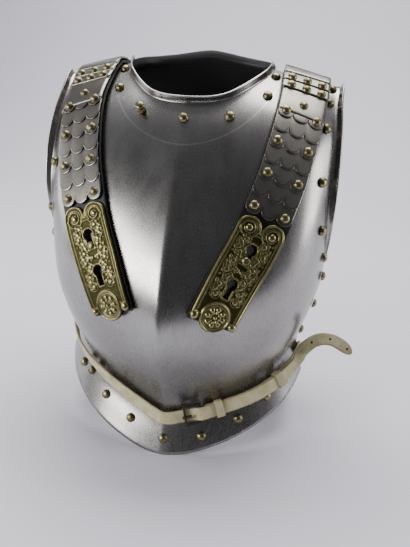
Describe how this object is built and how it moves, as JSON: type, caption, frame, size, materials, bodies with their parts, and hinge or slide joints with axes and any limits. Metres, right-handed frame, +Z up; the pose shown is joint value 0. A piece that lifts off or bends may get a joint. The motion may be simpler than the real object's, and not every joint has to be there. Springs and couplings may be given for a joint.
{
  "type": "cuirass",
  "caption": "Keeled steel breastplate with backplate, scaled shoulder straps with brass keyhole end plates, brass rivets and a buff leather waist belt.",
  "frame": {"origin": "middle of the footprint box, on the surface that the rims stand on", "axes": "+X the wearer's left, -Y the way the breast faces, +Z up from the waist to the neck"},
  "size_m": [0.3748, 0.3092, 0.4308],
  "materials": {
    "steel": "brushed and polished, lightly worn",
    "brass": "aged, dull olive in the recesses",
    "strap_leather": "black, matt",
    "belt_leather": "buff, worn",
    "iron": "dark and slightly rusty"
  },
  "bodies": {
    "root": {"breastplate": "steel", "backplate": "steel", "rivet_flange_middle": "brass", "rivet_flange_left_1": "brass", "rivet_flange_left_2": "brass", "rivet_flange_left_3": "brass", "rivet_flange_left_4": "brass", "rivet_neck_middle": "brass", "rivet_neck_left_1": "brass", "rivet_neck_left_2": "brass", "rivet_neck_left_3": "brass", "rivet_side_left_1": "brass", "rivet_side_left_2": "brass", "rivet_side_left_3": "brass", "rivet_side_left_4": "brass", "rivet_side_left_5": "brass", "rivet_side_left_6": "brass", "rivet_side_left_7": "brass", "rivet_side_left_8": "brass", "rivet_side_left_9": "brass", "strap_leather_left": "strap_leather", "strap_scales_left": "steel", "strap_shoulder_plate_left": "steel", "strap_lames_left": "steel", "end_plate_left": "brass", "strap_stud_left": "brass", "rivet_flange_right_1": "brass", "rivet_flange_right_2": "brass", "rivet_flange_right_3": "brass", "rivet_flange_right_4": "brass", "rivet_neck_right_1": "brass", "rivet_neck_right_2": "brass", "rivet_neck_right_3": "brass", "rivet_side_right_1": "brass", "rivet_side_right_2": "brass", "rivet_side_right_3": "brass", "rivet_side_right_4": "brass", "rivet_side_right_5": "brass", "rivet_side_right_6": "brass", "rivet_side_right_7": "brass", "rivet_side_right_8": "brass", "rivet_side_right_9": "brass", "strap_leather_right": "strap_leather", "strap_scales_right": "steel", "strap_shoulder_plate_right": "steel", "strap_lames_right": "steel", "end_plate_right": "brass", "strap_stud_right": "brass", "belt_buckle_half": "belt_leather", "belt_tail_half": "belt_leather", "buckle_frame": "iron", "buckle_tongue": "iron", "keeper_front": "belt_leather", "keeper_side": "belt_leather"}
  },
  "joints": []
}
